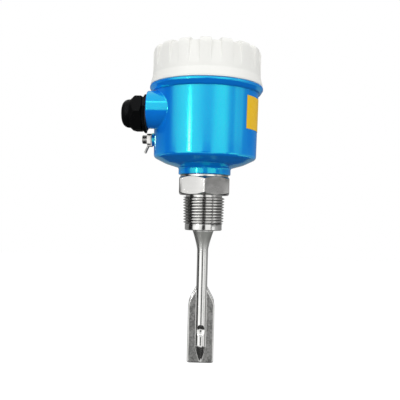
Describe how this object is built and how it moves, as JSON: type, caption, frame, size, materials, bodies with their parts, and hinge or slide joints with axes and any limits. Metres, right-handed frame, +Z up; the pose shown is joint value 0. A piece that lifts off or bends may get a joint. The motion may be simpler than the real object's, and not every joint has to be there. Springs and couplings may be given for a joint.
{
  "type": "vibrating fork level switch",
  "caption": "Level switch with a round screw-cap housing, a side cable gland and earthing screw, a hexagon with taper pipe thread, and a vibrating fork with flat paddles that senses liquid.",
  "frame": {"origin": "on the axis at the lower face of the hexagon, where the taper thread begins", "axes": "+Z up along the axis to the cover, the fork hangs along -Z; -Y looks out of the front, with one paddle facing it and the cable gland to the left along -X"},
  "size_m": [0.0895, 0.0732, 0.201],
  "materials": {
    "cover_paint": "satin",
    "housing_paint": "gloss",
    "sticker_film": "satin",
    "black_nylon": "satin",
    "black_rubber": "matte",
    "stainless": "satin",
    "bright_steel": "polished",
    "potting": "satin",
    "board_green": "satin",
    "terminal_green": "satin",
    "switch_black": "satin",
    "slider_white": "satin",
    "trimmer_blue": "satin",
    "rotor_brass": "satin",
    "lamp_lens": "gloss",
    "piezo_ceramic": "matte",
    "white_ceramic": "matte",
    "lead_sleeve": "satin"
  },
  "bodies": {
    "switch_body": {"housing": "housing_paint", "id_sticker": "sticker_film", "gland_body": "black_nylon", "gland_washer": "black_rubber", "neck_seal": "black_rubber", "process_fitting": "stainless", "fork": "stainless", "drive_stud": "stainless", "clamp_nut": "stainless", "ground_tab": "bright_steel", "ground_clamp": "bright_steel", "ground_screw": "bright_steel", "module_screws": "bright_steel", "terminal_screws": "bright_steel", "electronics_cup": "potting", "circuit_board": "board_green", "terminal_block": "terminal_green", "mode_switch": "switch_black", "lead_plug": "slider_white", "trimmer": "trimmer_blue", "electrode_plates": "rotor_brass", "status_leds": "lamp_lens", "piezo_rings": "piezo_ceramic", "lower_insulator": "white_ceramic", "upper_insulator": "white_ceramic", "sensor_leads": "lead_sleeve"},
    "cover_seal": {"cover_gasket": "black_rubber"},
    "cover": {"cover": "cover_paint"},
    "gland_sleeve": {"gland_seal": "black_rubber"},
    "gland_cap": {"gland_nut": "black_nylon"},
    "selector": {"mode_slider": "slider_white"},
    "adjuster": {"trimmer_rotor": "rotor_brass"}
  },
  "joints": [
    {"name": "cover_rise", "type": "slide", "parent": "switch_body", "child": "cover_seal", "axis": [0, 0, 1], "range_m": [0, 0.00801]},
    {"name": "cover_turn", "type": "hinge", "parent": "cover_seal", "child": "cover", "pos_m": [0, 0, 0.0792], "axis": [0, 0, 1], "range_deg": [0, 1440]},
    {"name": "gland_rise", "type": "slide", "parent": "switch_body", "child": "gland_sleeve", "axis": [-0.9986, 0.0523, 0], "range_m": [0, 0.00301]},
    {"name": "gland_turn", "type": "hinge", "parent": "gland_sleeve", "child": "gland_cap", "pos_m": [-0.04474, -0.01097, 0.0502], "axis": [-0.9986, 0.0523, 0], "range_deg": [0, 720]},
    {"name": "selector_slide", "type": "slide", "parent": "switch_body", "child": "selector", "axis": [1, 0, 0], "range_m": [0, 0.0022]},
    {"name": "adjuster_turn", "type": "hinge", "parent": "switch_body", "child": "adjuster", "pos_m": [0.008, -0.008, 0.0486], "axis": [0, 0, 1], "range_deg": [-135, 135]}
  ],
  "couplings": [
    {"joint": "cover_rise", "follows": "cover_turn", "m_per_rad": 0.00031831},
    {"joint": "gland_rise", "follows": "gland_turn", "m_per_rad": 0.00023873}
  ]
}
